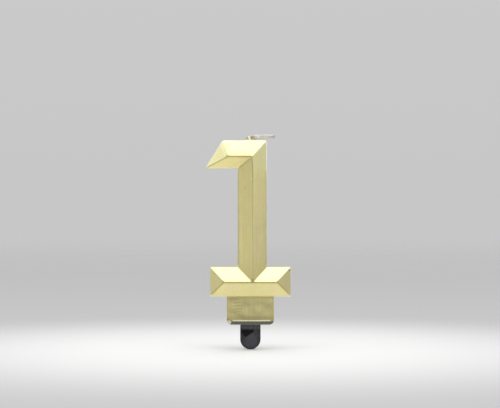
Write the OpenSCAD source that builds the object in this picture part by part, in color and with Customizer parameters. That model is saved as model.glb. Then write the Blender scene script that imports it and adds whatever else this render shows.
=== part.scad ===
// Number candle: a faceted numeral 1 in gold-lacquered wax, with a folded wick and a push-in plastic pick.
// Millimetres. Z is up, the faceted front looks along -Y, and X runs to the viewer's right.
// The origin is on the pick's axis, at the underside of the foot.

/* [Depth of the casting] */
// Distance from the mid plane to the flat back
back_d = 3.5; // [2.8:0.1:5]
// Distance from the mid plane to the rim where the facets start
rim_d = 4.5; // [3.8:0.1:6]
// Height of the ridges above the rim
roof_h = 4.2; // [2:0.1:6]

/* [Stem] */
// Left edge of the stem, measured from the pick's axis
stem_left = 5.1; // [4:0.1:7]
// Right edge of the stem, measured from the pick's axis
stem_right = 6.6; // [4:0.1:8]
// Ridge of the stem, measured to the right of the pick's axis
stem_ridge = 0.9; // [-1:0.1:1.5]
// Top edge of the numeral above the underside of the foot
numeral_top = 74; // [60:0.1:90]

/* [Flag] */
// Tip of the flag, measured to the left of the pick's axis
flag_tip = 18.2; // [14:0.1:22]
// Top left corner of the flag, measured to the left of the pick's axis
flag_shoulder = 11.2; // [9:0.1:13]
// Height of the flag
flag_h = 11.3; // [9:0.1:14]
// Width of the flag's upper facet, from the top edge down to the ridge
flag_upper_run = 6.5; // [5:0.1:7.5]
// Width of the facet on the flag's slanted end
flag_end_run = 5.5; // [3:0.1:6.5]

/* [Base serif] */
// Width of the base serif
serif_w = 32.5; // [26:0.1:40]
// Height of the base serif
serif_h = 12; // [9:0.1:15]
// Width of the base serif's upper facet, from its top edge down to the ridge
serif_upper_run = 6; // [4:0.1:7]
// Width of the facet on each end of the base serif
serif_end_run = 5.8; // [3:0.1:7]

/* [Foot] */
// Width of the foot
foot_w = 18.9; // [14:0.1:24]
// Height of the foot, up to the base serif
foot_h = 11.3; // [8:0.1:14]
// Radius along the foot's bottom edges
foot_bottom_r = 1.8; // [0.5:0.05:2]
// Radius of the foot's upright edges
foot_side_r = 0.55; // [0.4:0.05:1.2]

/* [Lacquer] */
// Thickness of the lacquer coat
skin_t = 0.2; // [0.1:0.05:0.3]

/* [Wick] */
// Diameter of the braided wick
wick_d = 1.5; // [1:0.1:2]
// Radius of the fold, on the wick's centre line
fold_r = 1.2; // [1.1:0.1:2]
// End of the folded wick, measured to the right of the pick's axis
wick_reach = 9.5; // [6:0.1:14]
// Wax left between the slot for the tang and the buried end of the wick
wick_floor = 2.4; // [1:0.1:30]
// Radius of the lacquered mound at the root of the wick
mound_r = 2.1; // [1.6:0.1:2.6]
// Height of the lacquered mound
mound_h = 0.45; // [0.35:0.05:0.8]

/* [Pick] */
// Width of the pick's tongue
pick_w = 8.2; // [7.6:0.1:10]
// Thickness of the pick
pick_t = 2.4; // [1.6:0.1:3]
// Length of the tongue below the foot
pick_drop = 10; // [9:0.1:30]
// Length of the tang inside the foot
tang_l = 12; // [8:0.5:13]
// Width of the tang between its barbs
tang_w = 7.1; // [5:0.1:7.4]
// Number of barbs on each side of the tang
barbs = 3; // [2:1:5]
// Gap round the tang in its slot
slot_gap = 0.12; // [0.08:0.01:0.2]

/* [Hidden] */
$fn = 64;

gold = [0.86, 0.79, 0.52];
wax_white = [0.95, 0.93, 0.86];
cotton = [0.90, 0.88, 0.82];
charcoal = [0.10, 0.10, 0.11];

// Facets run this many times the roof height in the cutting outlines, so only the ridges end them
over_run = 1.25;
roof_top = rim_d + over_run * roof_h;
ridge_d = rim_d + roof_h;
// Half of a length that passes the whole casting
past = 100;

flag_z = numeral_top - flag_h;
flag_lean = atan2(flag_tip - flag_shoulder, flag_h);
serif_lower_run = serif_h - serif_upper_run;
serif_top = foot_h + serif_h;
stem_right_run = stem_right - stem_ridge;
foot_d = 2 * back_d;
// The foot is carried this far up into the base serif
foot_root = 2;

wick_r = wick_d / 2;
root_z = numeral_top + mound_h;
// Width of the mound's flat lip round the wick
mound_lip = 0.45;
tip_z = root_z + fold_r;

slot_l = tang_l + slot_gap;
wick_low_z = slot_l + wick_floor;
// Hollows are cut this far past the surface that they open through
cut_past = 1;
// A barb stands out as wide as the tongue
barb_w = pick_w;
// Size of the bevel on each side of the tang's nose
tang_nose = 1.5;
barb_pitch = (tang_l - tang_nose) / barbs;

// Inward normal of the side from a to b of an anticlockwise outline
function inward(a, b) = let (d = (b - a) / norm(b - a)) [-d[1], d[0]];

// Convex anticlockwise outline with every side moved inwards by t
function inset(pts, t) =
    let (n = len(pts))
    [
        for (i = [0 : n - 1])
            let (
                before = inward(pts[(i + n - 1) % n], pts[i]),
                after = inward(pts[i], pts[(i + 1) % n])
            )
            pts[i] + t * (before + after) / (1 + before * after)
    ];

// Prism along X, from an outline in Y and Z
module prism_x(outline) {
    translate([-past, 0, 0])
        rotate([90, 0, 90])
            linear_extrude(2 * past)
                polygon(outline);
}

// Prism along Z, from an outline in X and Y
module prism_z(outline) {
    translate([0, 0, -past])
        linear_extrude(2 * past)
            polygon(outline);
}

// Cross-section in Y and Z with a ridge between a lower and an upper edge
function gable_yz(low, ridge, high) = [
    [back_d, low],
    [back_d, high],
    [-rim_d, high],
    [-ridge_d, ridge],
    [-rim_d, low]
];

// Flag of the numeral, with a hip at its slanted end and one over the stem
module flag(t) {
    slanted_end = [
        [0, back_d],
        [0, -rim_d],
        [over_run * flag_end_run, -roof_top],
        [past, -roof_top],
        [past, back_d]
    ];
    stem_end = [
        [-past, back_d],
        [-past, -roof_top],
        [stem_right - over_run * stem_right_run, -roof_top],
        [stem_right, -rim_d],
        [stem_right, back_d]
    ];
    intersection() {
        prism_x(inset(gable_yz(flag_z, numeral_top - flag_upper_run, numeral_top), t));
        prism_z(inset(stem_end, t));
        translate([-flag_tip, 0, flag_z])
            rotate([0, flag_lean, 0])
                prism_z(inset(slanted_end, t));
    }
}

// Stem, which runs from the top edge down through the base serif
module stem(t) {
    gable = [
        [-stem_left, back_d],
        [-stem_left, -rim_d],
        [stem_ridge, -ridge_d],
        [stem_right, -rim_d],
        [stem_right, back_d]
    ];
    hips = [
        [back_d, foot_h],
        [back_d, numeral_top],
        [-rim_d, numeral_top],
        [-roof_top, numeral_top - over_run * flag_upper_run],
        [-roof_top, foot_h + over_run * serif_lower_run],
        [-rim_d, foot_h]
    ];
    intersection() {
        prism_z(inset(gable, t));
        prism_x(inset(hips, t));
    }
}

// Base serif, a bar with a hip at each end
module serif(t) {
    half = serif_w / 2;
    hips = [
        [-half, back_d],
        [-half, -rim_d],
        [-half + over_run * serif_end_run, -roof_top],
        [half - over_run * serif_end_run, -roof_top],
        [half, -rim_d],
        [half, back_d]
    ];
    intersection() {
        prism_x(inset(gable_yz(foot_h, serif_top - serif_upper_run, serif_top), t));
        prism_z(inset(hips, t));
    }
}

// Upright panel of width w whose two lower corners are rounded
module round_bottom(w, low, high, r) {
    for (side = [-1, 1])
        translate([side * (w / 2 - r), low + r])
            circle(r);
    translate([-w / 2, low + r])
        square([w, high - low - r]);
    translate([-w / 2 + r, low])
        square([w - 2 * r, r]);
}

// Foot block with rounded upright and bottom edges
module foot(t) {
    w = foot_w - 2 * t;
    d = foot_d - 2 * t;
    high = foot_h + foot_root;
    bottom_r = foot_bottom_r - t;
    side_r = foot_side_r - t;
    intersection() {
        rotate([90, 0, 0])
            linear_extrude(foot_d, center = true)
                round_bottom(w, t, high, bottom_r);
        rotate([90, 0, 90])
            linear_extrude(foot_w, center = true)
                round_bottom(d, t, high, bottom_r);
        linear_extrude(high) {
            for (sx = [-1, 1], sy = [-1, 1])
                translate([sx * (w / 2 - side_r), sy * (d / 2 - side_r)])
                    circle(side_r);
            square([w, d - 2 * side_r], center = true);
            square([w - 2 * side_r, d], center = true);
        }
    }
}

// Mound that the lacquer leaves round the wick
module mound(t) {
    translate([0, 0, numeral_top - t])
        cylinder(h = mound_h, r1 = mound_r - t, r2 = wick_r + mound_lip - t);
}

// The whole casting, with its surface moved inwards by t
module casting(t) {
    flag(t);
    stem(t);
    serif(t);
    foot(t);
    mound(t);
}

// Hollows for the tang of the pick and for the wick
module hollows() {
    translate([-pick_w / 2 - slot_gap, -pick_t / 2 - slot_gap, -cut_past])
        cube([pick_w + 2 * slot_gap, pick_t + 2 * slot_gap, slot_l + cut_past]);
    translate([0, 0, wick_low_z])
        cylinder(h = root_z - wick_low_z + cut_past, r = wick_r);
}

module wax_body() {
    color(wax_white)
        difference() {
            casting(skin_t);
            hollows();
        }
}

module lacquer_skin() {
    color(gold)
        difference() {
            casting(0);
            casting(skin_t);
            hollows();
        }
}

module wick_core() {
    color(cotton)
        translate([0, 0, wick_low_z])
            cylinder(h = root_z - wick_low_z, r = wick_r);
}

module wick_bend() {
    color(cotton)
        translate([fold_r, 0, root_z])
            rotate([90, 0, 0])
                rotate([0, 0, 90])
                    rotate_extrude(angle = 90)
                        translate([fold_r, 0])
                            circle(wick_r);
}

module wick_tip() {
    color(cotton)
        translate([fold_r, 0, tip_z])
            rotate([0, 90, 0])
                cylinder(h = wick_reach - fold_r, r = wick_r);
}

// One edge of the tang from the foot upwards: each barb is wide below and tapers upwards
function tang_edge(side) = [
    for (i = [0 : barbs - 1])
        for (p = [[barb_w / 2, i * barb_pitch], [tang_w / 2, (i + 1) * barb_pitch]])
            [side * p[0], p[1]]
];

module pick() {
    left_edge = tang_edge(-1);
    nose = [[tang_w / 2 - tang_nose, tang_l], [tang_nose - tang_w / 2, tang_l]];
    down = [for (i = [len(left_edge) - 1 : -1 : 0]) left_edge[i]];
    color(charcoal)
        rotate([90, 0, 0])
            linear_extrude(pick_t, center = true) {
                translate([0, pick_w / 2 - pick_drop])
                    circle(pick_w / 2);
                translate([-pick_w / 2, pick_w / 2 - pick_drop])
                    square([pick_w, pick_drop - pick_w / 2]);
                polygon(concat(tang_edge(1), nose, down));
            }
}

wax_body();
lacquer_skin();
wick_core();
wick_bend();
wick_tip();
pick();
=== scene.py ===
"""Number candle: a gold-lacquered faceted numeral on a foot block, with a plaited wick and a plastic pick.

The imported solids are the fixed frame, in metres, with the faceted front towards -Y. Each operator makes one
piece round them, and main() runs the operators in order. The finishes are drawn in millimetres.
"""

import math

import bmesh
import bpy
from bpy.props import FloatProperty, FloatVectorProperty, IntProperty, PointerProperty
from bpy.types import Operator, Panel, PropertyGroup
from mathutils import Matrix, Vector


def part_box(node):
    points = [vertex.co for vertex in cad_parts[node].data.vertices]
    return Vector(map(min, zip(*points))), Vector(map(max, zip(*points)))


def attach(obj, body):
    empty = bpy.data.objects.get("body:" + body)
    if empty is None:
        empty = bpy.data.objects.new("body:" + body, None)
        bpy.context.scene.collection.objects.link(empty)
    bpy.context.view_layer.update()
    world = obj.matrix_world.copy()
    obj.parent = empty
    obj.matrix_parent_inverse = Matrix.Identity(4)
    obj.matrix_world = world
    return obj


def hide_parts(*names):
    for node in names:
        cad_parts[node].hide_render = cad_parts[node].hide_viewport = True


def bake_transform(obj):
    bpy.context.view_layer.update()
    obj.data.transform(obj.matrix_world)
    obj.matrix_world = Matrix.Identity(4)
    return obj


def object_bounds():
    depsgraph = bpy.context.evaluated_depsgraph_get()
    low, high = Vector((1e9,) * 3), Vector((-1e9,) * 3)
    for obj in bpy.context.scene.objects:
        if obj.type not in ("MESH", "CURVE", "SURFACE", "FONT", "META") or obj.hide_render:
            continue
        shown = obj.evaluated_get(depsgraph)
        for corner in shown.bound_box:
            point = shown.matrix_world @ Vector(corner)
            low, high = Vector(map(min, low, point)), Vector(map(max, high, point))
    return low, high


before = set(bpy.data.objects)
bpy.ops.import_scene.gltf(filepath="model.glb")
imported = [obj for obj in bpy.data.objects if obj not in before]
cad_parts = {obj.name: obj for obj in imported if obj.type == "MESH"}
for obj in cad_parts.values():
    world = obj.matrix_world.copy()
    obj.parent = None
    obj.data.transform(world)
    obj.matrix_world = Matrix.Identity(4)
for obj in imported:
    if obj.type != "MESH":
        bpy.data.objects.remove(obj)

bl_info = {
    "name": "Number candle",
    "version": (1, 0, 0),
    "blender": (4, 5, 0),
    "location": "View3D > Sidebar > Candle",
    "description": "Makes the finished look of a gold numeral candle round its packed solids",
    "category": "Object",
}

MM = 0.001
FULL_TURN = 2.0 * math.pi
CAD_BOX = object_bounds()
COAT_LOW, COAT_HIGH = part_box("lacquer_skin")
CORE_LOW, CORE_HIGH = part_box("wick_core")
TIP_LOW, TIP_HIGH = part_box("wick_tip")
PICK_LOW, PICK_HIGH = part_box("pick")
WICK_RADIUS = CORE_HIGH.x
WICK_ROOT = Vector((0.0, 0.0, CORE_HIGH.z))
FOLD_END = Vector((TIP_LOW.x, 0.0, (TIP_LOW.z + TIP_HIGH.z) / 2.0))


# Settings that a user can change

def length(name, description, default):
    """A size, written in millimetres and kept in metres."""
    return FloatProperty(
        name=name, description=description, default=default * MM, min=0.0, unit="LENGTH", precision=5)


def colour(name, description, default):
    """A linear colour."""
    return FloatVectorProperty(
        name=name, description=description, default=default, min=0.0, max=1.0, size=3, subtype="COLOR")


def count(name, description, default, low, high):
    """A whole number."""
    return IntProperty(name=name, description=description, default=default, min=low, max=high)


class NumeralSettings(PropertyGroup):
    """Sizes and colours of the lacquered numeral."""

    numeral_top: length("Top edge", "Top edge of the numeral above the foot's underside", 74.0)
    rim_depth: length("Rim depth", "Distance from the mid plane to the rim of the facets", 4.5)
    stem_left: length("Stem left", "Left edge of the stem from the pick's axis", 5.1)
    stem_right: length("Stem right", "Right edge of the stem from the pick's axis", 6.6)
    stem_ridge: length("Stem ridge", "Ridge of the stem to the right of the pick's axis", 0.9)
    flag_shoulder: length("Flag shoulder", "Top left corner of the flag from the pick's axis", 11.2)
    flag_height: length("Flag height", "Height of the flag", 11.3)
    flag_upper_run: length("Flag upper facet", "Width of the flag's upper facet", 6.5)
    flag_end_run: length("Flag end facet", "Width of the facet on the flag's slanted end", 5.5)
    serif_height: length("Serif height", "Height of the base serif", 12.0)
    serif_upper_run: length("Serif upper facet", "Width of the base serif's upper facet", 6.0)
    serif_end_run: length("Serif end facet", "Width of the facets on the ends of the base serif", 5.8)
    foot_width: length("Foot width", "Width of the foot", 18.9)
    foot_height: length("Foot height", "Height of the foot up to the base serif", 11.3)
    foot_round: length("Foot rounding", "Rounding of the foot's bottom edges", 1.8)
    foot_side_round: length("Foot side rounding", "Rounding of the foot's upright edges", 0.55)
    rim_round: length("Rim rounding", "Rounding of the rim round the facets", 0.5)
    ridge_round: length("Ridge rounding", "Rounding of the ridges between facets", 0.3)
    hip_round: length("Soft hip rounding", "Rounding of the hip by the flag's end facet", 0.9)
    valley_fill: length("Valley filling", "Lacquer that fills the inner corners", 0.35)
    edge_round: length("Edge rounding", "Rounding of the side and back edges", 0.4)
    back_sink: length("Back sink", "Depth that the poured back has sunk as the wax set", 0.13)
    coat_thickness: length("Coat thickness", "Thickness of the lacquer coat", 0.18)
    slot_gap: length("Slot gap", "Gap round the pick's tang in its slot", 0.12)
    bead_radius: length("Bead radius", "Radius of the lacquered bead at the root of the wick", 2.8)
    bead_height: length("Bead climb", "Length of wick that the bead climbs past the root", 0.75)
    lacquer: colour("Lacquer", "The gold lacquer", (0.825, 0.755, 0.372))
    # Shared by real dark specks and a smudge, and by painted shade in the corners; it also darkens the foot's
    # rims and the foot towards its bottom.
    dark_lacquer_and_shade: colour("Pooled lacquer", "Lacquer where it has pooled", (0.50, 0.41, 0.16))
    # Painted highlight: the pale colour of the rims; also the pale chipped corner of the foot.
    rim_highlight_and_chip: colour("Rim", "Lacquer drawn thin along the rims", (0.82, 0.82, 0.60))
    # Shared by real pale specks and a nick, and by painted highlights on the rims, the flag's shoulder, the
    # foot's line and the root's run; the foot's lowest edge is also a little paler with it.
    pale_wear_and_highlight: colour("Worn lacquer", "Lacquer where it is rubbed pale", (0.93, 0.90, 0.70))
    # Painted shade: the colour of the dark lines along the ridges, the lower hips and the flag's root.
    ridge_line_shade: colour("Ridge line", "Lacquer drawn thin along the ridges", (0.48, 0.40, 0.15))
    lacquer_blush: colour("Blushed lacquer", "Warm patches in the lacquer", (0.86, 0.72, 0.40))
    # Painted shade along the foot's sole; also a chip's painted shadow and a dark nick on the serif.
    sole: colour("Sole edge", "Thin dark lacquer along the edge of the sole", (0.095, 0.105, 0.088))
    root: colour("Root", "Dull lacquer on the root of the wick", (0.41, 0.38, 0.21))
    root_foot: colour("Root foot", "Lacquer where the root runs out", (0.74, 0.69, 0.42))
    root_tan: colour("Root tan", "Stained wax under the fold of the wick", (0.66, 0.58, 0.42))
    wax: colour("Wax", "The bare wax", (0.84, 0.80, 0.68))


class WickSettings(PropertyGroup):
    """Sizes and colours of the plaited wick."""

    strands: count("Strands", "Number of plaited strands", 3, 2, 6)
    plies: count("Plies", "Number of yarns twisted into a strand", 5, 2, 9)
    strand_radius: length("Strand radius", "Radius of one strand", 0.42)
    sway: length("Sway", "Distance that a strand swings to each side", 0.45)
    rise: length("Rise", "Distance that a strand passes over and under the others", 0.31)
    plait_pitch: length("Plait pitch", "Length in which a strand swings once across and back", 28.0)
    twist_pitch: length("Twist pitch", "Length in which the yarns of a strand turn once", 4.6)
    step: length("Step", "Distance between the rings of a strand", 0.14)
    wander: length("Wander", "Distance that the free end wanders sideways", 0.12)
    sag: length("Sag", "Distance that the free end sags in its middle", 0.13)
    fibre_length: length("Fibre length", "Length of a loose fibre", 0.55)
    fibre_radius: length("Fibre radius", "Radius of a loose fibre", 0.014)
    stain_length: length("Stain length", "Length of wick that the lacquer has stained", 2.7)
    cotton: colour("Cotton", "The waxed cotton", (0.93, 0.92, 0.88))
    cotton_shade: colour("Cotton shade", "Cotton between the yarns", (0.66, 0.64, 0.58))
    # Painted shade deep between the strands.
    cotton_crevice_shade: colour("Cotton depth", "Cotton deep between the strands", (0.30, 0.29, 0.23))
    stain: colour("Stain", "Stained cotton at the root", (0.70, 0.64, 0.50))


class PickSettings(PropertyGroup):
    """Sizes and colours of the plastic pick."""

    tang_width: length("Tang width", "Width of the tang between its barbs", 7.1)
    tang_nose: length("Tang nose", "Bevel on each side of the tang's nose", 1.5)
    barbs: count("Barbs", "Number of barbs on each side of the tang", 3, 2, 5)
    tongue_round: length("Tongue rounding", "Rounding of the tongue's edges", 0.5)
    tang_round: length("Tang rounding", "Rounding of the tang's edges", 0.12)
    plastic: colour("Plastic", "The charcoal plastic", (0.026, 0.025, 0.032))
    # Painted reflection: the dark wedge on the pick's front.
    plastic_dark_reflection: colour("Deep plastic", "Black flow mark in the plastic", (0.004, 0.0038, 0.0042))


class StageSettings(PropertyGroup):
    """Camera, light and floor."""

    picture_width: length("Picture width", "Width that the picture takes in at the rim", 200.0)
    camera_distance: length("Camera distance", "Distance of the camera from the rim", 700.0)
    camera_left: length("Camera left", "Camera to the left of the pick's axis", 0.16)
    camera_height: length("Camera height", "Camera above the foot's underside", 48.46)
    floor_radius: length("Floor radius", "Radius of the floor", 3000.0)
    # Painted pool of light: the floor is this bright round the candle and greyer further out.
    floor: colour("Floor", "The floor round the candle", (0.93, 0.93, 0.93))
    floor_outside_light_pool: colour("Far floor", "The floor further out", (0.55, 0.55, 0.55))
    screen: colour("Screen", "The screen behind the camera", (0.08, 0.08, 0.08))


class CandleSettings(PropertyGroup):
    """All settings of the candle."""

    numeral: PointerProperty(type=NumeralSettings, name="Numeral", description="The lacquered numeral")
    wick: PointerProperty(type=WickSettings, name="Wick", description="The plaited wick")
    pick: PointerProperty(type=PickSettings, name="Pick", description="The plastic pick")
    stage: PointerProperty(type=StageSettings, name="Stage", description="Camera, light and floor")


# Nodes

class Amount:
    """What an output of a node gives. A sum on it is written as a sum and makes a node."""

    def __init__(self, socket):
        self.socket = socket
        self.tree = socket.id_data

    def __getitem__(self, output):
        return Amount(self.socket.node.outputs[output])

    def __add__(self, other):
        return calc("ADD", self, other)

    def __sub__(self, other):
        return calc("SUBTRACT", self, other)

    def __rsub__(self, other):
        return calc("SUBTRACT", other, self)

    def __mul__(self, other):
        return calc("MULTIPLY", self, other)

    def __truediv__(self, other):
        return calc("DIVIDE", self, other)

    def __abs__(self):
        return calc("ABSOLUTE", self)


def tree_of(values):
    """The tree that some of the values come from."""
    return next(value.tree for value in values if isinstance(value, Amount))


def fill(made, inputs):
    """Links or sets the inputs of a node, by name or number."""
    for key, value in inputs.items():
        if isinstance(value, Amount):
            value.tree.links.new(value.socket, made.inputs[key])
        else:
            made.inputs[key].default_value = value


def node(tree, kind, inputs=None, **settings):
    """First output of a new node, whose settings are made before its inputs are filled."""
    made = tree.nodes.new(kind)
    for name, value in settings.items():
        setattr(made, name, value)
    fill(made, inputs or {})
    return Amount(made.outputs[0])


def calc(operation, *values):
    """Result of a sum on numbers."""
    return node(tree_of(values), "ShaderNodeMath", dict(enumerate(values)), operation=operation)


def vector_calc(operation, *values):
    """Result of a sum on vectors."""
    return node(tree_of(values), "ShaderNodeVectorMath", dict(enumerate(values)), operation=operation)


def largest(first, second):
    """The larger of two numbers."""
    return calc("MAXIMUM", first, second)


def scaled(vector, size):
    """A vector times a number."""
    inputs = {"Vector": vector, "Scale": size}
    return node(vector.tree, "ShaderNodeVectorMath", inputs, operation="SCALE")


def combined(tree, **parts):
    """A vector from those of its parts that aren't 0."""
    return node(tree, "ShaderNodeCombineXYZ", parts)


def fade(value, start, end, low=0.0, high=1.0):
    """Goes smoothly from low to high as a value goes from start to end."""
    inputs = {"Value": value, "From Min": start, "From Max": end, "To Min": low, "To Max": high}
    return node(value.tree, "ShaderNodeMapRange", inputs, interpolation_type="SMOOTHSTEP")


def spread(value, low, high):
    """A value from 0 to 1 brought to the range from low to high."""
    return node(value.tree, "ShaderNodeMapRange", {"Value": value, "To Min": low, "To Max": high})


def opaque(tint):
    """A written colour with full alpha, or a node's colour as it is."""
    return tint if isinstance(tint, Amount) else (*tint, 1.0)


def mixed(share, first, second, blend="MIX"):
    """Two colours mixed by the share of the second."""
    inputs = {0: share, 6: opaque(first), 7: opaque(second)}
    return node(tree_of(inputs.values()), "ShaderNodeMix", inputs, data_type="RGBA", blend_type=blend)[2]


def layered(base, layers, blend="MIX"):
    """A colour under layers, each a share and a colour."""
    for share, tint in layers:
        base = mixed(share, base, tint, blend)
    return base


def brightened(tint, factor):
    """A colour times a number."""
    grey = node(factor.tree, "ShaderNodeCombineColor", {0: factor, 1: factor, 2: factor})
    return mixed(1.0, tint, grey, "MULTIPLY")


def clouds(vector, scale, detail=2.0, distortion=0.0):
    """Soft random patches from 0 to 1."""
    inputs = {"Vector": vector, "Scale": scale, "Detail": detail, "Distortion": distortion}
    return node(vector.tree, "ShaderNodeTexNoise", inputs)


def drawn_clouds(vector, stretch, detail, distortion=0.0):
    """Random streaks: clouds whose scale differs along each axis."""
    return clouds(vector_calc("MULTIPLY", vector, stretch), 1.0, detail, distortion)


def cells(vector, scale):
    """Random cells: distance from their middles, and a random number for each."""
    made = node(vector.tree, "ShaderNodeTexVoronoi", {"Vector": vector, "Scale": scale})
    return made["Distance"], node(vector.tree, "ShaderNodeSeparateColor", {0: made["Color"]})


def openness(tree, distance, **settings):
    """1 in the open, falling to 0 deep in a corner."""
    inputs = {"Distance": distance * MM}
    return node(tree, "ShaderNodeAmbientOcclusion", inputs, samples=8, **settings)["AO"]


def bumped(*reliefs):
    """Normal under reliefs laid on each other, each a height from 0 to 1 and its depth."""
    normal = None
    for height, depth in reliefs:
        inputs = {"Height": height, "Distance": depth * MM, "Strength": 1.0}
        if normal is not None:
            inputs["Normal"] = normal
        normal = node(height.tree, "ShaderNodeBump", inputs)
    return normal


def new_finish(name):
    """A new material with its tree and its shader."""
    material = bpy.data.materials.new(name)
    material.use_nodes = True
    tree = material.node_tree
    return material, tree, tree.nodes["Principled BSDF"]


def object_place(tree):
    """Place on the object in metres."""
    return node(tree, "ShaderNodeTexCoord")["Object"]


def millimetres(tree):
    """Place on the object in millimetres, and its three parts."""
    place = scaled(object_place(tree), 1.0 / MM)
    parts = node(tree, "ShaderNodeSeparateXYZ", {0: place})
    return place, parts["X"], parts["Y"], parts["Z"]


# Marks on the lacquer, and painted light and shade on it

def near(value, centre, reach, soft=0.7):
    """1 where a value is at a centre, falling to 0 at a distance of reach from it."""
    return fade(abs(value - centre), reach, (1.0 - soft) * reach)


def inside_oval(x, z, centre, half):
    """1 in the middle of an upright oval, falling to 0 at its rim."""
    across = (x - centre[0]) / half[0]
    up = (z - centre[1]) / half[1]
    return fade(across * across + up * up, 1.0, 0.25)


def above_line(x, z, start, end):
    """Height above the straight line through two points of the front."""
    slope = (end[1] - start[1]) / (end[0] - start[0])
    return (x - start[0]) * -slope + z - start[1]


def on_front(y):
    """1 on the facets of the front, 0 behind their rim."""
    return fade(y, -3.8, -4.3)


def front_points(s):
    """Corners of the numeral and ends of its ridges, as (x, z) in millimetres."""
    corners, ridges = numeral_points(s)
    return {name: (x / MM, z / MM) for name, (x, z) in (corners | ridges).items()}


def in_fork(s, x, z):
    """1 on the stem, down to the point where it forks the serif."""
    middle, ridge = front_points(s)["fork"]
    return fade(z - abs(x - middle), ridge, ridge + 0.3)


def on_right_facet(s, x, y, edge, run):
    """1 on the facet that rises to the left from an upright edge of the rim."""
    rise = -COAT_LOW.y - s.rim_depth
    top = (edge - run) / MM
    depth = (edge / MM - x) * (rise / run) + s.rim_depth / MM
    return near(y + depth, 0.0, 0.25) * fade(x, top - 0.1, top + 0.1)


def on_stem_right(s, x, y):
    """1 on the stem's right facet."""
    return on_right_facet(s, x, y, s.stem_right, s.stem_right - s.stem_ridge)


def flow_ripples(place, x, y, z):
    """Short arcs on the left of the foot's front, where the wax chilled in rings as it flowed."""
    pitch, flatness, waver = 1.22, 0.55, 0.5
    centre_x, centre_z = -4.0, 2.9
    patch = inside_oval(x, z, (-5.0, 7.1), (2.5, 4.4)) * fade(y, -3.2, -3.4)
    across = (x - centre_x) * flatness
    up = z - centre_z
    ring = clouds(place, 0.5) * waver + calc("SQRT", across * across + up * up)
    wave = calc("SINE", ring * (FULL_TURN / pitch))
    broken = fade(clouds(place, 0.8), 0.3, 0.5)
    return fade(wave, 0.1, 1.0) * broken * patch


def edge_tint(s, x, y, z, patchy):
    """Colour on the rounded edges, with painted light: a pale highlight along the rims, less on the stem and
    palest on the flag, darker on the foot, and painted shade, dark along the ridges.
    """
    points = front_points(s)
    serif_ridge, flag_ridge = points["fork"][1], points["crown"][1]
    rim, foot_top, foot_half = -s.rim_depth / MM, s.foot_height / MM, 0.5 * s.foot_width / MM

    by_foot = fade(z, foot_top + 1.0, foot_top + 0.7) * near(x, 0.0, foot_half, soft=0.05)
    on_foot = fade(z, foot_top + 0.2, foot_top - 0.4)
    on_stem = fade(z, 23.6, 24.6) * fade(z, 66.0, 58.0)
    # Painted highlight on the rims: paler up towards the flag, toned down on the stem.
    pale = mixed(fade(z, 59.0, 63.0), s.rim_highlight_and_chip, s.pale_wear_and_highlight)
    share = spread(patchy, 0.6, 1.0) * (1.0 - by_foot) * (1.0 - on_foot) * spread(on_stem, 1.0, 0.5)
    worn = brightened(mixed(share, s.lacquer, pale), spread(on_stem, 1.0, 0.84))
    worn = mixed(on_foot * 0.45, worn, s.dark_lacquer_and_shade)

    on_serif = fade(z, serif_ridge + 0.8, serif_ridge + 0.3) * fade(x, 1.0, 3.0, 1.0, 0.65)
    upright = fade(z, 54.0, 61.0, 0.0, 0.7) * fade(z, 61.5, 63.0, 1.0, 0.0)
    level = fade(z, flag_ridge - 1.0, flag_ridge) * fade(x, 0.0, 0.6, 0.82, 0.15)
    on_flag = (level + upright) * fade(z, flag_ridge + 0.8, flag_ridge + 0.3)
    # Painted shade: dark lines along the serif's and the flag's ridges, and down the stem's ridge near its
    # top.
    drawn = spread(patchy, 0.2, 0.9) * (on_serif + on_flag)
    line = mixed(drawn, s.lacquer, s.ridge_line_shade)
    return mixed(fade(y, rim - 0.35, rim - 0.75), worn, line)


def ridge_shade(s, x, y, z):
    """Painted shade along the level ridges: 1 at the ridges, falling to 0 down the facets."""
    points = front_points(s)
    reach, soft = 2.0, 0.4
    by_serif = near(z, points["fork"][1], reach, soft)
    by_flag = near(z, points["crown"][1], reach, soft) * fade(x, 0.5, -0.5)
    return fade(y - COAT_LOW.y / MM, 0.85, 0.1) * (by_serif + by_flag)


def painted_shade_lines(s, x, y, z):
    """Share of painted shade in dark lines: by the flag's root, on the lower hips and where the ridge bends.
    """
    points = front_points(s)
    middle, ridge = points["crown"]
    above_root = above_line(x, z, points["flag_root"], points["crown"])
    by_root = near(above_root, -0.1, 0.65) * fade(x, -5.0, -4.4) * fade(x, 0.2, -0.6, 0.0, 0.6)
    rise = fade(z, 62.0, ridge)
    bend = near(rise * rise * 0.75 + x, middle, 0.35)
    bend = bend * fade(z, 61.5, 63.0, 0.0, 0.4) * fade(z, ridge - 0.1, ridge - 0.4)
    dark = largest(by_root, bend)
    hips = (
        ("flag_tip", "flag_end", -0.15, 0.4),
        ("serif_low_left", "serif_left", 0.3, 0.55),
        ("serif_low_right", "serif_right", 0.3, 0.5),
    )
    for corner, hip_end, height, strength in hips:
        outer, inner = points[corner][0], points[hip_end][0]
        outwards = math.copysign(0.4, outer)
        on_hip = fade(x, inner - outwards, inner + outwards, 0.0, strength)
        on_hip = on_hip * fade(x, outer - 0.8 * outwards, outer - 3.0 * outwards)
        above_hip = above_line(x, z, points[corner], points[hip_end])
        dark = largest(dark, near(above_hip, height, 0.55) * on_hip)
    return dark * on_front(y)


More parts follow.
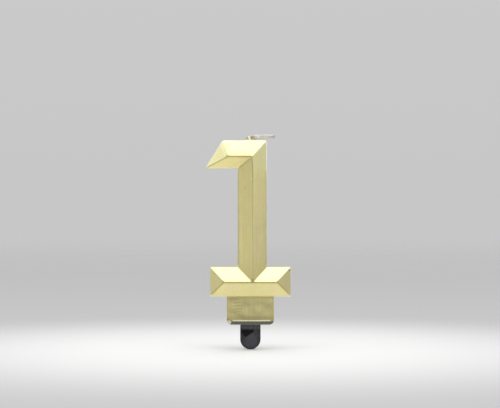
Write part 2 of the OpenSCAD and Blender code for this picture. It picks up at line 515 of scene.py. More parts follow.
def facet_tints(s, base, x, y, z):
    """Small shifts of colour: warm on the stem's left, in the fork and on the foot, paler on the flag, and a
    painted highlight that whitens the flag's top by its hip and its mitre.
    """
    points = front_points(s)
    middle, flag_ridge, foot_top = points["crown"][0], points["crown"][1], s.foot_height / MM
    front = on_front(y)

    above_root = above_line(x, z, points["flag_root"], points["crown"])
    left = fade(above_root, 0.1, -0.1) * fade(x, middle + 0.2, middle - 0.2)
    stem = in_fork(s, x, z) * largest(left, fade(z, 30.0, 22.0) * 0.9)
    warm = largest(stem * front, fade(z, foot_top + 0.3, foot_top - 0.3, 0.0, 0.4))
    rosy = on_stem_right(s, x, y) * fade(z, 59.0, 67.0)

    above_hip = above_line(x, z, points["flag_tip"], points["flag_end"])
    beside_hip = above_line(x, z, points["crown_left"], points["flag_end"])
    over_mitre = above_line(x, z, points["crown"], points["crown_right"])
    pale = fade(above_hip, 0.0, 0.3) * fade(beside_hip, 0.0, -0.8) * front
    by_ends = largest(fade(beside_hip, 9.0, 2.0), fade(over_mitre, 3.0, 0.0)) * 0.75
    creamy = largest(fade(z, 70.5, 68.3), by_ends) * fade(z, flag_ridge, flag_ridge + 0.3)
    creamy = creamy * (1.0 - pale) * fade(over_mitre, 0.5, 1.1) * front
    over_ridge = fade(z, flag_ridge, flag_ridge + 0.6) * front
    # Painted highlight: the flag's top whitened by its hip and by its mitre.
    hip_highlight = near(beside_hip, -2.1, 2.9) * over_ridge
    mitre_highlight = near(over_mitre, 0.0, 0.9) * over_ridge * fade(z, 73.4, 72.4)
    tints = (
        (warm, (1.0, 0.995, 0.92)),
        (rosy, (1.0, 0.958, 1.02)),
        (pale, (0.97, 1.0, 1.07)),
        (creamy, (1.0, 1.0, 0.87)),
        (hip_highlight, (1.1, 1.13, 1.26)),
        (mitre_highlight, (1.0, 1.03, 1.25)),
    )
    return layered(base, tints, "MULTIPLY")


def side_tone(s, x, y, z):
    """Painted light and shade as a change of brightness: lighter up the stem's right facet, with a painted
    glint beside its ridge, and darker on the serif's right end.
    """
    on_end = on_right_facet(s, x, y, COAT_HIGH.x, s.serif_end_run)
    upwards = fade(z, 28.7, 54.7, -0.03, 0.08) + fade(z, 58.0, 67.0, 0.0, 0.23)
    glint = near(x, s.stem_ridge / MM + 0.75, 0.45)
    glint = glint * fade(z, 20.0, 60.0, 0.0, 0.09) * fade(z, 61.0, 66.0, 1.0, 0.1)
    return on_stem_right(s, x, y) * (upwards + glint) - on_end * 0.1


def stem_margins(s, x, y, z):
    """How much brighter or darker the stem is: shaded along its edges and in the fork, lit on its left."""
    on_stem = fade(z, 23.5, 25.0) * fade(z, 63.0, 61.0)
    edges = fade(x, -4.2, -5.1, 0.0, -0.07) + fade(x, 5.2, 6.5, 0.0, -0.08)
    edges = edges + near(x, -3.6, 0.9) * 0.035
    shade = in_fork(s, x, z) * fade(z, 33.0, 20.0, 0.0, -0.055)
    return on_front(y) * (edges * on_stem + shade)


def root_shade(s, x, y, z):
    """1 in the corner of the flag's lower facet beside the stem, falling to 0 along the flag."""
    points = front_points(s)
    ridge = points["crown"][1]
    above_root = above_line(x, z, points["flag_root"], points["crown"])
    facet = fade(above_root, -0.2, 0.2) * on_front(y) * fade(z, ridge + 0.2, ridge - 0.1)
    return facet * fade(x, -6.0, -1.5)


def front_marks(s, x, y, z):
    """Layers for single marks: a painted highlight on the flag's shoulder, two nicks on the stem and one on
    the serif.
    """
    front = on_front(y)
    marks = (
        # Painted highlight on the flag's shoulder.
        ((-11.0, 71.9), (1.1, 2.0), 0.2, s.pale_wear_and_highlight),
        ((0.5, 58.6), (0.9, 0.42), 0.6, s.pale_wear_and_highlight),
        ((-2.0, 55.1), (0.6, 0.4), 0.3, s.dark_lacquer_and_shade),
        ((15.6, 21.9), (0.5, 0.4), 0.6, s.sole),
    )
    return [(inside_oval(x, z, centre, half) * front * share, tint) for centre, half, share, tint in marks]


def foot_bands(s, base, x, y, z, grain):
    """Colour of the foot, darker towards the bottom, with painted shadow under the serif, painted shade along
    the sole, a painted highlight line and a pale chipped corner with painted shadow above it; and the share
    of the highlight line.
    """
    highlight_height, highlight_left, highlight_right = 1.72, -7.4, 8.2
    front = fade(y, -1.5, -2.5)
    ragged = (grain - 0.5) * 0.25 + z
    base = mixed(fade(z, 8.7, 2.7) * 0.25, base, s.dark_lacquer_and_shade)
    # Painted shadow under the serif's overhang.
    shadow_under_serif = near(z, s.foot_height / MM - 0.3, 0.55) * front
    base = brightened(base, spread(shadow_under_serif, 1.0, 0.84))
    strip = fade(ragged, 4.3, 2.7) * front * fade(x, -8.0, -3.0, 0.5, 1.0) * fade(x, 1.5, 4.5, 1.0, 0.7)
    base = brightened(base, spread(strip, 1.0, 0.72))
    # Painted highlight: a pale line along the foot's lower rounding.
    line = fade(x, highlight_left, highlight_left + 0.5) * fade(x, highlight_right, highlight_right - 0.5)
    line = near(ragged, highlight_height, 0.32) * line
    # Painted shadow above the chipped corner.
    chip_shadow = inside_oval(x, ragged, (-9.0, 2.15), (0.6, 0.4))
    chip = inside_oval(x, ragged, (-8.5, 1.05), (1.0, 1.0)) * front
    layers = (
        # Painted shade along the sole's rounded edge; the lowest edge is a little paler.
        (fade(ragged, 1.64, 1.4, 0.0, 0.92), s.sole),
        (fade(ragged, 0.45, 0.15, 0.0, 0.3), s.pale_wear_and_highlight),
        (chip_shadow * 0.5, s.sole),
        (chip * 0.7, s.rim_highlight_and_chip),
        (line, s.pale_wear_and_highlight),
    )
    return layered(base, layers), line


# Finishes

def gold_lacquer(s, name, on_edges):
    """Satin gold lacquer with fine flake and streaks drawn up the stem, with painted shade in the corners and
    painted light and shade on its facets, edges and foot.
    """
    material, tree, shader = new_finish(name)
    place, x, y, z = millimetres(tree)

    _, flake = cells(place, 3.2)
    mottle = clouds(place, 0.16, detail=3.0)
    grain = clouds(place, 1.7, detail=4.0)
    on_stem = fade(z, 18.0, 26.0) * fade(z, 70.0, 60.0)
    streaked = largest(on_stem, fade(z, 11.7, 10.7)) * 0.8 + 0.2
    streak = (drawn_clouds(place, (2.1, 2.1, 0.045), detail=3.0, distortion=0.3) - 0.5) * streaked
    ripple = flow_ripples(place, x, y, z)
    waver = clouds(place, 2.6)
    shaken = scaled(combined(tree, X=waver, Y=grain, Z=waver), 0.9)
    from_speck, kind = cells(vector_calc("ADD", place, shaken), 0.21)
    speck = fade(from_speck, 0.05, 0.03) * fade(z, 10.7, 11.7)
    speck_tint = mixed(calc("GREATER_THAN", kind, 0.45), s.dark_lacquer_and_shade, s.pale_wear_and_highlight)

    tone = spread(flake, 0.965, 1.035) + spread(mottle, -0.06, 0.06) + spread(grain, -0.04, 0.04)
    tone = tone + streak * 0.26 + on_stem * 0.06 - ripple * 0.22 - ridge_shade(s, x, y, z) * 0.19
    tone = tone + side_tone(s, x, y, z) + stem_margins(s, x, y, z) - root_shade(s, x, y, z) * 0.1
    if on_edges:
        base = edge_tint(s, x, y, z, grain)
    else:
        blush = fade(clouds(place, 0.24, detail=3.0, distortion=0.5), 0.45, 0.68, 0.0, 0.6)
        base = mixed(blush, s.lacquer, s.lacquer_blush)
    base = facet_tints(s, brightened(base, tone), x, y, z)
    # Painted shade in the corners, darker where a point is less open.
    corner_shade = fade(openness(tree, 1.2, only_local=True), 0.90, 0.50, 0.0, 0.9)
    layers = [
        (painted_shade_lines(s, x, y, z), s.ridge_line_shade),
        (corner_shade, s.dark_lacquer_and_shade),
        (speck * 0.5, speck_tint),
    ]
    base = layered(base, layers + front_marks(s, x, y, z))
    # The foot's painted highlight line is also made less metallic.
    base, painted_highlight_line = foot_bands(s, base, x, y, z, grain)

    poured = fade(y, 3.0, 3.3)
    swell = clouds(place, 0.28, detail=0.0) * (poured * 1.4 + 0.6)
    fill(shader, {
        "Base Color": base,
        "Metallic": spread(painted_highlight_line, 1.0, 0.15),
        "Roughness": spread(mottle, 0.29, 0.37) + spread(flake, -0.006, 0.006) + streak * 0.12,
        "Coat Weight": 0.12,
        "Coat Roughness": 0.16,
        "Normal": bumped((swell, 0.16), (grain, 0.012), (streak, 0.035), (ripple, -0.008), (speck, -0.04)),
    })
    return material


def root_lacquer(s):
    """Dull lacquer over the root of the wick: olive on the left, a painted highlight down one pale upright
    line, and tan under the fold.
    """
    highlight_place, highlight_reach, highlight_lean = -0.3, 0.45, 0.42
    material, tree, shader = new_finish("root_gold")
    place, x, y, z = millimetres(tree)
    uneven = clouds(place, 1.3, detail=3.0)
    climb = z - (s.numeral_top + s.bead_height) / MM
    aside = climb * highlight_lean + ((uneven - 0.5) * 0.5 + x)
    olive = mixed(fade(climb, 0.1, -0.65), s.root, s.root_foot)
    # Painted highlight: one pale upright line down the root's front, leaning as it climbs.
    run = near(aside, highlight_place, highlight_reach) * fade(y, 0.3, -0.3)
    layers = ((fade(aside, highlight_place, highlight_place + 0.6), s.root_tan), (run, s.pale_wear_and_highlight))
    fill(shader, {
        "Base Color": brightened(layered(olive, layers), spread(uneven, 0.8, 1.2)),
        "Roughness": spread(uneven, 0.4, 0.6),
        "Metallic": 0.35,
        "Normal": bumped((uneven, 0.12)),
    })
    return material


def candle_wax(s):
    """Bare cast wax, slightly translucent, with a bloom of fine crystals."""
    material, tree, shader = new_finish("cast_wax")
    place = millimetres(tree)[0]
    bloom = clouds(place, 0.5, detail=4.0)
    crystal = clouds(place, 4.0, detail=3.0)
    tone = spread(bloom, 0.92, 1.04) + spread(crystal, -0.03, 0.03)
    fill(shader, {
        "Base Color": brightened(s.wax, tone),
        "Roughness": spread(crystal, 0.42, 0.62),
        "Subsurface Weight": 0.4,
        "Subsurface Radius": (1.0, 0.8, 0.5),
        "Subsurface Scale": 1.5 * MM,
        "Normal": bumped((crystal, 0.02)),
    })
    return material


def wick_cotton(s, root_along, end_along):
    """Waxed cotton yarn with painted shade between the yarns and deeper between the strands, stained at the
    root and greyed at the cut end.
    """
    material, tree, shader = new_finish("waxed_cotton")
    along = node(tree, "ShaderNodeAttribute", attribute_name="along")["Fac"]
    groove = node(tree, "ShaderNodeAttribute", attribute_name="groove")["Fac"]
    place = millimetres(tree)[0]
    fibre = drawn_clouds(place, (1.5, 9.0, 9.0), detail=4.0)
    waxy = clouds(place, 0.9)
    wet = (waxy - 0.5) * (0.9 * MM) + along
    # Painted shade: darker between the yarns here, and deeper between the strands in the layers below.
    base = mixed(groove * 0.4, s.cotton, s.cotton_shade)
    base = brightened(base, spread(fibre, 0.92, 1.05) + spread(waxy, -0.04, 0.04))
    layers = (
        (fade(openness(tree, 0.8), 0.9, 0.45, 0.0, 0.8), s.cotton_crevice_shade),
        (fade(wet, root_along + s.stain_length, root_along + 0.65 * s.stain_length), s.stain),
        (fade(wet, end_along - 0.9 * MM, end_along + 0.1 * MM, 0.0, 0.55), s.cotton_shade),
    )
    fill(shader, {
        "Base Color": layered(base, layers),
        "Roughness": spread(waxy, 0.5, 0.8),
        "Sheen Weight": 0.15,
        "Normal": bumped((fibre, 0.03)),
    })
    return material


def reflection_wedge(x, z, waver):
    """1 in a wedge on the left of the tongue, level along its top and with its point downwards: where a dark
    reflection is painted.
    """
    top, left, right, point = -1.9, -4.5, 1.35, 3.6
    slope_left, slope_right, slope_start = 0.52, 1.4, 2.7
    down = top - (waver * 0.8 + z)
    aside = waver * 0.8 + x
    from_left = aside - (down * slope_left + left)
    under = down * -slope_right + slope_start - aside
    from_right = calc("MINIMUM", right - aside, under)
    wedge = fade(from_left, -0.3, 0.5) * fade(from_right, -0.4, 0.5)
    return wedge * fade(down, point, point - 0.7) * fade(down, -0.35, 0.45)


def pick_plastic(s):
    """Glossy charcoal plastic with fine scuffs, and painted reflections: a black wedge, a pale band below the
    foot, a lighter middle and darker sides.
    """
    material, tree, shader = new_finish("charcoal_plastic")
    place, x, y, z = millimetres(tree)
    fine = clouds(place, 2.2, detail=4.0)
    flow = clouds(place, 0.42, distortion=0.6)
    scuff = fade(drawn_clouds(place, (7.0, 7.0, 0.5), detail=4.0), 0.56, 0.74)
    # Painted dark reflection in the wedge, which is also smoother and less specular.
    mark = reflection_wedge(x, z, flow - 0.5) * fade(y, -0.3, -0.9)
    tone = spread(fine, 0.75, 1.25) + spread(flow, -0.3, 0.3) + scuff * 0.3
    # Painted reflection: a pale band below the foot, a lighter middle and darker sides.
    tone = tone + near(z, -0.9, 1.3) * 1.3 + inside_oval(x, z, (0.3, -6.3), (3.0, 3.6)) * 0.8
    tone = tone - fade(x, 2.0, 3.4) * 0.4 - fade(x, -2.4, -3.6) * 0.3
    fill(shader, {
        "Base Color": brightened(mixed(mark, s.plastic, s.plastic_dark_reflection), tone),
        "Roughness": scuff * 0.16 + spread(mark, 0.26, 0.12),
        "Specular IOR Level": spread(mark, 0.5, 0.12),
        "Normal": bumped((flow, 0.06), (scuff, -0.008)),
    })
    return material


def stage_floor(s):
    """Plain pale floor with a painted pool of light round the candle, greyer further out, that fades away
    round its rim.
    """
    material, tree, shader = new_finish("stage_floor")
    place = object_place(tree)
    distance = vector_calc("LENGTH", vector_calc("MULTIPLY", place, (1.0, 1.0, 0.0)))["Value"]
    # Painted pool of light: brighter near the candle, greyer further out.
    base = mixed(fade(distance, 0.03, 0.22), s.floor, s.floor_outside_light_pool)
    fill(shader, {
        "Base Color": brightened(base, spread(clouds(place, 6.0), 0.98, 1.02)),
        "Roughness": 0.85,
        "Alpha": fade(distance, 0.8 * s.floor_radius, 0.05 * s.floor_radius),
    })
    return material


def grey_screen(s):
    """Matt grey screen."""
    material, tree, shader = new_finish("grey_screen")
    tone = spread(clouds(object_place(tree), 3.0), 0.95, 1.05)
    fill(shader, {"Base Color": brightened(s.screen, tone), "Roughness": 0.9})
    return material


# Meshes

def place_mesh(name, mesh, *materials):
    """A new object at the origin that shows a mesh."""
    made = bpy.data.objects.new(name, mesh)
    bpy.context.scene.collection.objects.link(made)
    for material in materials:
        mesh.materials.append(material)
    return made


def mesh_from(name, shape):
    """A smooth-shaded mesh from an edited shape, which is then freed."""
    for face in shape.faces:
        face.smooth = True
    mesh = bpy.data.meshes.new(name)
    shape.to_mesh(mesh)
    shape.free()
    return mesh


def weigh_edges(shape, width_of):
    """Stores how wide each edge is rounded, as a share of the widest rounding, which is returned."""
    widths = [width_of(edge) for edge in shape.edges]
    widest = max(widths)
    layer = shape.edges.layers.float.new("bevel_weight_edge")
    for edge, width in zip(shape.edges, widths):
        edge[layer] = width / widest
    return widest


def round_edges(piece, widest, segments=4, finish=-1):
    """Rounds the weighed edges of a piece, which can have a finish of their own."""
    rounding = piece.modifiers.new("Rounding", "BEVEL")
    rounding.limit_method = "WEIGHT"
    rounding.offset_type = "OFFSET"
    rounding.width = widest
    rounding.segments = segments
    rounding.use_clamp_overlap = False
    rounding.material = finish


def flatten_normals(piece):
    """Keeps the wide faces of a piece flat and lets only its roundings curve."""
    flat = piece.modifiers.new("Flat facets", "WEIGHTED_NORMAL")
    flat.keep_sharp = True
    flat.weight = 90


# Numeral

FACETS = (
    ("serif_low_left", "serif_low_right", "serif_right", "fork", "serif_left"),
    ("serif_low_right", "serif_top_right", "serif_right"),
    ("serif_top_right", "stem_foot_right", "fork", "serif_right"),
    ("stem_foot_right", "crown_right", "crown", "fork"),
    ("crown_right", "crown_left", "flag_end", "crown"),
    ("crown_left", "flag_tip", "flag_end"),
    ("flag_tip", "flag_root", "crown", "flag_end"),
    ("flag_root", "stem_foot_left", "fork", "crown"),
    ("stem_foot_left", "serif_top_left", "serif_left", "fork"),
    ("serif_top_left", "serif_low_left", "serif_left"),
)
SIDES = ((-1, -1), (1, -1), (1, 1), (-1, 1))


def numeral_points(s):
    """Corners of the outline, anticlockwise from the front, and ends of the ridges, as (x, z)."""
    half = COAT_HIGH.x
    serif_top = s.foot_height + s.serif_height
    serif_ridge = serif_top - s.serif_upper_run
    flag_low = s.numeral_top - s.flag_height
    flag_ridge = s.numeral_top - s.flag_upper_run
    corners = {
        "serif_low_left": (-half, s.foot_height),
        "serif_low_right": (half, s.foot_height),
        "serif_top_right": (half, serif_top),
        "stem_foot_right": (s.stem_right, serif_top),
        "crown_right": (s.stem_right, s.numeral_top),
        "crown_left": (-s.flag_shoulder, s.numeral_top),
        "flag_tip": (COAT_LOW.x, flag_low),
        "flag_root": (-s.stem_left, flag_low),
        "stem_foot_left": (-s.stem_left, serif_top),
        "serif_top_left": (-half, serif_top),
    }
    tip = Vector(corners["flag_tip"])
    slant = (Vector(corners["crown_left"]) - tip).normalized()
    start = tip + s.flag_end_run * Vector((slant.y, -slant.x))
    flag_end = start + slant * ((flag_ridge - start.y) / slant.y)
    ridges = {
        "serif_left": (-half + s.serif_end_run, serif_ridge),
        "fork": (s.stem_ridge, serif_ridge),
        "serif_right": (half - s.serif_end_run, serif_ridge),
        "crown": (s.stem_ridge, flag_ridge),
        "flag_end": (flag_end.x, flag_end.y),
    }
    return corners, ridges


def numeral_block(s):
    """Sharp-edged numeral on its foot, open only at the slot for the pick, and its back face."""
    corners, ridges = numeral_points(s)
    block = bmesh.new()

    def points_at(places, y):
        return {name: block.verts.new((x, y, z)) for name, (x, z) in places.items()}

    def ring_at(half_width, half_depth, z):
        return {(a, b): block.verts.new((a * half_width, b * half_depth, z)) for a, b in SIDES}

    front = points_at(corners, -s.rim_depth)
    front.update(points_at(ridges, COAT_LOW.y))
    back = points_at(corners, COAT_HIGH.y)
    for names in FACETS:
        block.faces.new([front[name] for name in names])
    rim = list(corners)
    for a, b in zip(rim[1:], rim[2:] + rim[:1]):
        block.faces.new([front[a], back[a], back[b], front[b]])

    low = ring_at(s.foot_width / 2.0, COAT_HIGH.y, COAT_LOW.z)
    high = ring_at(s.foot_width / 2.0, COAT_HIGH.y, s.foot_height)
    slot = ring_at(PICK_HIGH.x + s.slot_gap, PICK_HIGH.y + s.slot_gap, COAT_LOW.z)
    for a, b in zip(SIDES, SIDES[1:] + SIDES[:1]):
        block.faces.new([low[a], low[b], slot[b], slot[a]])
        if a[1] < 0 or b[1] < 0:
            block.faces.new([low[a], low[b], high[b], high[a]])
    shelf = [front[rim[0]], front[rim[1]], back[rim[1]]]
    block.faces.new(shelf + [high[1, 1], high[1, -1], high[-1, -1], high[-1, 1], back[rim[0]]])
    foot_back = [high[-1, 1], low[-1, 1], low[1, 1], high[1, 1]]
    poured = block.faces.new([back[rim[0]]] + foot_back + [back[name] for name in rim[1:]])
    bmesh.ops.recalc_face_normals(block, faces=block.faces)
    return block, poured


def sink_back(block, poured, depth):
    """Lets the poured back sink in a soft dish, a little more at each step from the edge."""
    first_step, step = 1.5 * MM, 0.8 * MM
    for inset, share in ((first_step, 0.12), (step, 0.38), (step, 0.35), (step, 0.15)):
        bmesh.ops.inset_region(
            block, faces=[poured], thickness=inset, depth=-share * depth, use_even_offset=True)


def numeral_rounding(s):
    """How wide each edge of the numeral is rounded."""
    flat_angle = math.radians(8.0)
    close = 0.01 * MM

    def width_of(edge):
        if len(edge.link_faces) < 2:
            edge.smooth = False
            return 0.0
        angle = edge.calc_face_angle_signed()
        if abs(angle) < flat_angle:
            return 0.0
        if angle < 0.0:
            return s.valley_fill
        heights = sorted(vert.co.z for vert in edge.verts)
        depths = sorted(vert.co.y for vert in edge.verts)
        if heights[1] < COAT_LOW.z + close:
            return s.foot_round
        if heights[0] < COAT_LOW.z + close:
            return s.foot_side_round
        if depths[1] < COAT_LOW.y + close and heights[1] - heights[0] > s.flag_height + s.serif_height:
            return 0.5 * s.ridge_round
        if depths[0] < -s.rim_depth - close:
            if heights[1] < s.numeral_top - close:
                return s.ridge_round
            return s.hip_round if edge.verts[0].co.x < 0.0 else 0.5 * s.hip_round
        if depths[1] < -s.rim_depth + close:
            return s.rim_round
        return s.edge_round

    return width_of


def make_coat(s, lacquer, edge_lacquer):
    """The lacquer coat: facets with rounded rims and ridges, and a back that has sunk."""
    block, poured = numeral_block(s)
    sink_back(block, poured, s.back_sink)
    widest = weigh_edges(block, numeral_rounding(s))
    coat = place_mesh("numeral_coat", mesh_from("numeral_coat", block), lacquer, edge_lacquer)
    round_edges(coat, widest, finish=1)
    wall = coat.modifiers.new("Coat", "SOLIDIFY")
    wall.thickness = s.coat_thickness
    wall.offset = -1.0
    wall.use_even_offset = True
    flatten_normals(coat)
    return coat


def wick_place(distance):
    """Point and inward direction on the wick's centre line, at a distance past its root."""
    radius = FOLD_END.x
    if distance < 0.0:
        return WICK_ROOT + Vector((0.0, 0.0, distance)), Vector((1.0, 0.0, 0.0))
    turn = distance / radius
    centre = WICK_ROOT + radius * Vector((1.0 - math.cos(turn), 0.0, math.sin(turn)))
    return centre, Vector((math.cos(turn), 0.0, -math.sin(turn)))


def add_drop(bead, s):
    """Adds the drop of wax that has run under the fold, its lower half inside the numeral."""
    centre = Vector((1.25 * MM, -0.1 * MM, s.numeral_top + 0.2 * MM))
    across, deep, tall = 1.15 * MM, 0.95 * MM, 0.62 * MM
    drop = bmesh.ops.create_icosphere(bead, subdivisions=4, radius=1.0)
    for vert in drop["verts"]:
        x, y, z = vert.co
        lumpy = 1.0 + 0.07 * math.sin(3.0 * x + 1.0) * math.cos(4.0 * y)
        lumpy += 0.05 * math.sin(5.0 * z + 2.0 * x)
        vert.co = centre + lumpy * Vector((across * x, deep * y, tall * z))


def make_bead(s, lacquer):
    """The lacquered wax on the root of the wick: a flared foot that thins out, highest on the left."""
    rings, segments = 28, 48
    buried = 0.06 * MM
    steepness, thinning, thin_from = 1.6, 0.16, 0.75
    skin = 1.05 * WICK_RADIUS
    start = s.numeral_top - buried - WICK_ROOT.z
    bead = bmesh.new()
    loops = []
    for ring in range(rings + 1):
        share = ring / rings
        flare = (s.bead_radius - skin) * (1.0 - share) ** steepness
        taper = 1.0 - thinning * max(share - thin_from, 0.0) / (1.0 - thin_from)
        loop = []
        for k in range(segments):
            turn = FULL_TURN * k / segments
            lean = 1.0 - 0.5 * math.cos(turn) + 0.06 * math.sin(3.0 * turn + 0.7)
            uneven = 0.85 - 0.35 * math.cos(turn)
            uneven += 0.08 * math.sin(2.0 * turn + 0.4) + 0.05 * math.sin(5.0 * turn)
            centre, inward = wick_place(start + (s.bead_height - start) * lean * share)
            outwards = math.cos(turn) * inward + Vector((0.0, math.sin(turn), 0.0))
            loop.append(bead.verts.new(centre + (skin * taper + flare * uneven) * outwards))
        loops.append(loop)
    bead.faces.new(list(reversed(loops[0])))
    bead.faces.new(loops[-1])
    for lower, upper in zip(loops, loops[1:]):
        for k in range(segments):
            after = (k + 1) % segments
            bead.faces.new([lower[k], lower[after], upper[after], upper[k]])
    bmesh.ops.recalc_face_normals(bead, faces=bead.faces)
    add_drop(bead, s)
    return place_mesh("root_bead", mesh_from("root_bead", bead), lacquer)


# Wick

def wick_route(s):
    """Centre line of the wick: up the stem, round the fold and out to the cut end."""
    fold_steps, end_steps = 10, 24
    radius = FOLD_END.x
    route = [Vector((0.0, 0.0, CORE_LOW.z)), WICK_ROOT.copy()]
    for k in range(1, fold_steps + 1):
        turn = 0.5 * math.pi * k / fold_steps
        route.append(WICK_ROOT + Vector((radius * (1.0 - math.cos(turn)), 0.0, radius * math.sin(turn))))
    for k in range(1, end_steps + 1):
        share = k / end_steps
        sideways = s.wander * math.sin(FULL_TURN * 0.8 * share) * share
        down = s.sag * math.sin(math.pi * share)
        route.append(FOLD_END + Vector(((TIP_HIGH.x - FOLD_END.x) * share, sideways, -down)))
    return route


def route_lengths():
    """Length of wick up to its root and up to its cut end."""
    root = CORE_HIGH.z - CORE_LOW.z
    return root, root + 0.5 * math.pi * FOLD_END.x + TIP_HIGH.x - FOLD_END.x


def group_inputs(tree, sizes):
    """Named inputs on a tree, one for each size, and the node that gives them."""
    tree.interface.new_socket("Path", in_out="INPUT", socket_type="NodeSocketGeometry")
    for name, value in sizes.items():
        kind = "NodeSocketInt" if isinstance(value, int) else "NodeSocketFloat"
        tree.interface.new_socket(name, in_out="INPUT", socket_type=kind).default_value = value
    tree.interface.new_socket("Geometry", in_out="OUTPUT", socket_type="NodeSocketGeometry")
    return node(tree, "NodeGroupInput")


def stored(geometry, name, value):
    """Geometry with a number kept under a name at each point."""
    inputs = {"Geometry": geometry, "Name": name, "Value": value}
    return node(geometry.tree, "GeometryNodeStoreNamedAttribute", inputs, data_type="FLOAT", domain="POINT")


def moved(geometry, offset):
    """Geometry with each point moved."""
    return node(geometry.tree, "GeometryNodeSetPosition", {"Geometry": geometry, "Offset": offset})


def swept(line, profile):
    """A closed tube along a line."""
    inputs = {"Curve": line, "Profile Curve": profile, "Fill Caps": True}
    return node(line.tree, "GeometryNodeCurveToMesh", inputs)


def strand_profile(tree, given):
    """Cross-section of a strand: a ring of yarns with grooves between them."""
    points_per_yarn, groove_depth = 4.0, 0.1
    inputs = {"Resolution": given["Plies"] * points_per_yarn, "Radius": given["Strand radius"]}
    ring = node(tree, "GeometryNodeCurvePrimitiveCircle", inputs)
    share = node(tree, "GeometryNodeSplineParameter")["Factor"]
    groove = 0.5 - calc("COSINE", share * FULL_TURN * given["Plies"]) * 0.5
    drawn_in = scaled(node(tree, "GeometryNodeInputPosition"), groove * -groove_depth)
    return moved(stored(ring, "groove", groove), drawn_in)


def plaited_strands(tree, given):
    """Strands that swing across and over each other along the path."""
    level, first_turn = (0.0, 1.0, 0.0), 0.25
    inputs = {"Curve": given["Path"], "Length": given["Step"]}
    path = node(tree, "GeometryNodeResampleCurve", inputs, mode="LENGTH")
    inputs = {"Geometry": path, "Amount": given["Strands"]}
    copies = node(tree, "GeometryNodeDuplicateElements", inputs, domain="SPLINE")
    number = copies["Duplicate Index"]
    along = node(tree, "GeometryNodeSplineParameter")["Length"]
    strands = stored(copies, "along", along)

    turns = (along - given["Level at"]) / given["Plait pitch"] + number / given["Strands"] + first_turn
    angle = turns * FULL_TURN
    sway = calc("SINE", angle) * given["Sway"]
    rise = calc("SINE", angle * 2.0) * given["Rise"]
    tangent = node(tree, "GeometryNodeInputTangent")
    across = vector_calc("NORMALIZE", vector_calc("CROSS_PRODUCT", tangent, level))
    strands = moved(strands, vector_calc("ADD", scaled(across, sway), combined(tree, Y=rise)))
    twist = along / given["Twist pitch"] * FULL_TURN + number
    strands = node(tree, "GeometryNodeSetCurveTilt", {"Curve": strands, "Tilt": twist})
    return swept(strands, strand_profile(tree, given))


def random_number(tree, low, high, seed):
    """A random number for each point."""
    return node(tree, "FunctionNodeRandomValue", {2: low, 3: high, "Seed": seed}, data_type="FLOAT")[1]


def one_fibre(tree, given):
    """A thin curved fibre that starts at the origin and leans over from Z."""
    reach = given["Fibre length"]
    inputs = {
        "Resolution": 5,
        "Start": (0.0, 0.0, 0.0),
        "Middle": combined(tree, X=reach * 0.25, Z=reach),
        "End": combined(tree, X=reach, Z=reach * 0.6),
    }
    line = node(tree, "GeometryNodeCurveQuadraticBezier", inputs)
    inputs = {"Resolution": 3, "Radius": given["Fibre radius"]}
    return swept(line, node(tree, "GeometryNodeCurvePrimitiveCircle", inputs))


def loose_fibres(tree, given, strands):
    """Loose fibres that stand up all over the free end, and thickly at the cut."""
    spin_seed, size_seed = 3, 5
    along = node(tree, "GeometryNodeInputNamedAttribute", {"Name": "along"}, data_type="FLOAT")
    free = calc("GREATER_THAN", along, given["Free from"])
    cut = calc("GREATER_THAN", along, given["Cut from"])
    density = cut * given["Cut density"] + free * given["Fuzz density"]
    inputs = {"Mesh": strands, "Density": density, "Seed": given["Seed"]}
    points = node(tree, "GeometryNodeDistributePointsOnFaces", inputs, distribute_method="RANDOM")
    spin = combined(tree, Z=random_number(tree, 0.0, FULL_TURN, spin_seed))
    spin = node(tree, "FunctionNodeEulerToRotation", {"Euler": spin})
    inputs = {"Rotation": points["Rotation"], "Rotate By": spin}
    inputs = {
        "Points": points,
        "Instance": one_fibre(tree, given),
        "Rotation": node(tree, "FunctionNodeRotateRotation", inputs, rotation_space="LOCAL"),
        "Scale": random_number(tree, 0.35, 1.0, size_seed),
    }
    return node(tree, "GeometryNodeInstanceOnPoints", inputs)


def plait_tree(sizes, cotton):
    """Tree that turns a path into a plaited wick with loose fibres."""
    tree = bpy.data.node_groups.new("Plaited wick", "GeometryNodeTree")
    given = group_inputs(tree, sizes)
    strands = plaited_strands(tree, given)
    fibres = loose_fibres(tree, given, strands)
    whole = node(tree, "GeometryNodeJoinGeometry", {"Geometry": strands})
    fill(whole.socket.node, {"Geometry": fibres})
    whole = node(tree, "GeometryNodeRealizeInstances", {"Geometry": whole})
    whole = node(tree, "GeometryNodeSetShadeSmooth", {"Geometry": whole})
    whole = node(tree, "GeometryNodeSetMaterial", {"Geometry": whole, "Material": cotton})
    fill(tree.nodes.new("NodeGroupOutput"), {"Geometry": whole})
    return tree


def grown_on_path(name, route, tree, sizes):
    """Plain mesh object that a tree makes along a route."""
    curve = bpy.data.curves.new(name, "CURVE")
    curve.dimensions = "3D"
    line = curve.splines.new("POLY")
    line.points.add(len(route) - 1)
    for point, place in zip(line.points, route):
        point.co = (*place, 1.0)
    host = place_mesh(name + "_path", curve)
    grow = host.modifiers.new("Grow", "NODES")
    grow.node_group = tree
    for socket in tree.interface.items_tree:
        if socket.name in sizes:
            grow[socket.identifier] = sizes[socket.name]
    depsgraph = bpy.context.evaluated_depsgraph_get()
    mesh = bpy.data.meshes.new_from_object(host.evaluated_get(depsgraph), depsgraph=depsgraph)
    mesh.name = name
    bpy.data.objects.remove(host)
    return place_mesh(name, mesh)


